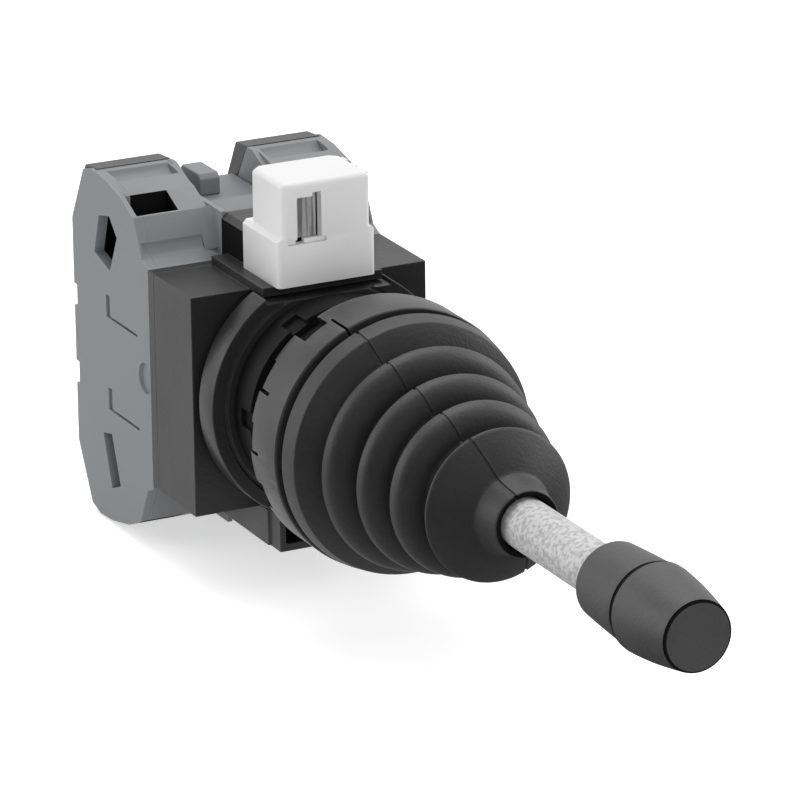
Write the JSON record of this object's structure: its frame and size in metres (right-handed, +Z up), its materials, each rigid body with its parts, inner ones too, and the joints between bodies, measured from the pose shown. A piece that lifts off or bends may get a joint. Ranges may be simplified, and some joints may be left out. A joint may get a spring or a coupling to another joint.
{
  "type": "joystick switch",
  "caption": "Panel-mounted industrial joystick switch: steel lever in a ribbed rubber boot tilts four ways and presses contacts in blocks behind a square housing.",
  "frame": {"origin": "centre of the panel cut-out, on the panel's front face, where the gasket rests", "axes": "lever points to -Y in front of the panel, contact blocks at +Y behind it, +X right, +Z up"},
  "size_m": [0.0308, 0.1279, 0.0485],
  "materials": {
    "boot_rubber": "matt moulded black rubber with fine grain and a parting line",
    "gasket_rubber": "matt black rubber",
    "knob_plastic": "satin dark grey plastic",
    "black_plastic": "satin black moulded plastic",
    "grey_plastic": "satin grey moulded plastic",
    "dark_grey_plastic": "matt dark grey plastic",
    "white_plastic": "satin white plastic",
    "rod_plastic": "natural white low friction plastic",
    "shaft_steel": "turned steel with fine marks and specks",
    "plated_steel": "zinc plated steel",
    "spring_steel": "drawn spring wire",
    "brass": "plain brass strip"
  },
  "bodies": {
    "switch": {"pivot_pin": "shaft_steel", "rubber_boot": "boot_rubber", "boot_ring": "black_plastic", "bezel_ring": "black_plastic", "panel_gasket": "gasket_rubber", "threaded_barrel": "black_plastic", "gate_plate": "black_plastic", "ring_nut": "black_plastic", "rod_guide": "rod_plastic", "lock_ring": "black_plastic", "housing": "black_plastic", "housing_back": "black_plastic", "housing_screws": "plated_steel", "lower_channel": "black_plastic", "locking_lever": "black_plastic", "centre_block_casing": "grey_plastic", "centre_terminals": "brass", "centre_hook": "grey_plastic", "left_block_casing": "grey_plastic", "left_block_cover": "grey_plastic", "left_block_lids": "dark_grey_plastic", "left_terminals": "brass", "left_clamp_washers": "plated_steel", "left_terminal_screws": "plated_steel", "right_block_casing": "grey_plastic", "right_block_cover": "grey_plastic", "right_block_lids": "dark_grey_plastic", "right_terminals": "brass", "right_clamp_washers": "plated_steel", "right_terminal_screws": "plated_steel"},
    "gimbal": {"cross_block": "plated_steel", "cross_pins": "shaft_steel"},
    "lever": {"knob": "knob_plastic", "knob_insert": "brass", "lever_shaft": "shaft_steel", "shaft_clip": "plated_steel", "lever_yoke": "plated_steel", "swash_plate": "plated_steel", "swash_rivets": "plated_steel"},
    "lock": {"safety_lock": "white_plastic", "lock_leaf": "plated_steel", "lock_clip": "white_plastic"},
    "push_left": {"push_rod_left": "rod_plastic", "return_spring_left": "spring_steel", "plunger_left": "rod_plastic", "contact_bridge_left": "brass"},
    "push_right": {"push_rod_right": "rod_plastic", "return_spring_right": "spring_steel", "plunger_right": "rod_plastic", "contact_bridge_right": "brass"},
    "push_up": {"push_rod_up": "rod_plastic", "return_spring_up": "spring_steel", "plunger_up": "rod_plastic", "contact_bridge_up": "brass"},
    "push_down": {"push_rod_down": "rod_plastic", "return_spring_down": "spring_steel", "plunger_down": "rod_plastic", "contact_bridge_down": "brass"}
  },
  "joints": [
    {"name": "tilt_up_down", "type": "hinge", "parent": "switch", "child": "gimbal", "pos_m": [0, 0.002, 0], "axis": [-1, 0, 0], "range_deg": [-15, 15], "stiffness_Nm_per_rad": 0.8, "deforming": ["rubber_boot"]},
    {"name": "tilt_left_right", "type": "hinge", "parent": "gimbal", "child": "lever", "pos_m": [0, 0.002, 0], "axis": [0, 0, 1], "range_deg": [-15, 15], "stiffness_Nm_per_rad": 0.8, "deforming": ["rubber_boot"]},
    {"name": "push_left_slide", "type": "slide", "parent": "switch", "child": "push_left", "axis": [0, 1, 0], "range_m": [-0.00135, 0.00135], "deforming": ["return_spring_left"]},
    {"name": "push_right_slide", "type": "slide", "parent": "switch", "child": "push_right", "axis": [0, 1, 0], "range_m": [-0.00135, 0.00135], "deforming": ["return_spring_right"]},
    {"name": "push_up_slide", "type": "slide", "parent": "switch", "child": "push_up", "axis": [0, 1, 0], "range_m": [-0.00135, 0.00135], "deforming": ["return_spring_up"]},
    {"name": "push_down_slide", "type": "slide", "parent": "switch", "child": "push_down", "axis": [0, 1, 0], "range_m": [-0.00135, 0.00135], "deforming": ["return_spring_down"]},
    {"name": "lock_pull", "type": "slide", "parent": "switch", "child": "lock", "axis": [0, 0, 1], "range_m": [0, 0.01]}
  ],
  "couplings": [
    {"joint": "push_right_slide", "follows": "tilt_left_right", "m_per_rad": 0.00512},
    {"joint": "push_left_slide", "follows": "tilt_left_right", "m_per_rad": -0.00512},
    {"joint": "push_up_slide", "follows": "tilt_up_down", "m_per_rad": 0.00512},
    {"joint": "push_down_slide", "follows": "tilt_up_down", "m_per_rad": -0.00512}
  ]
}
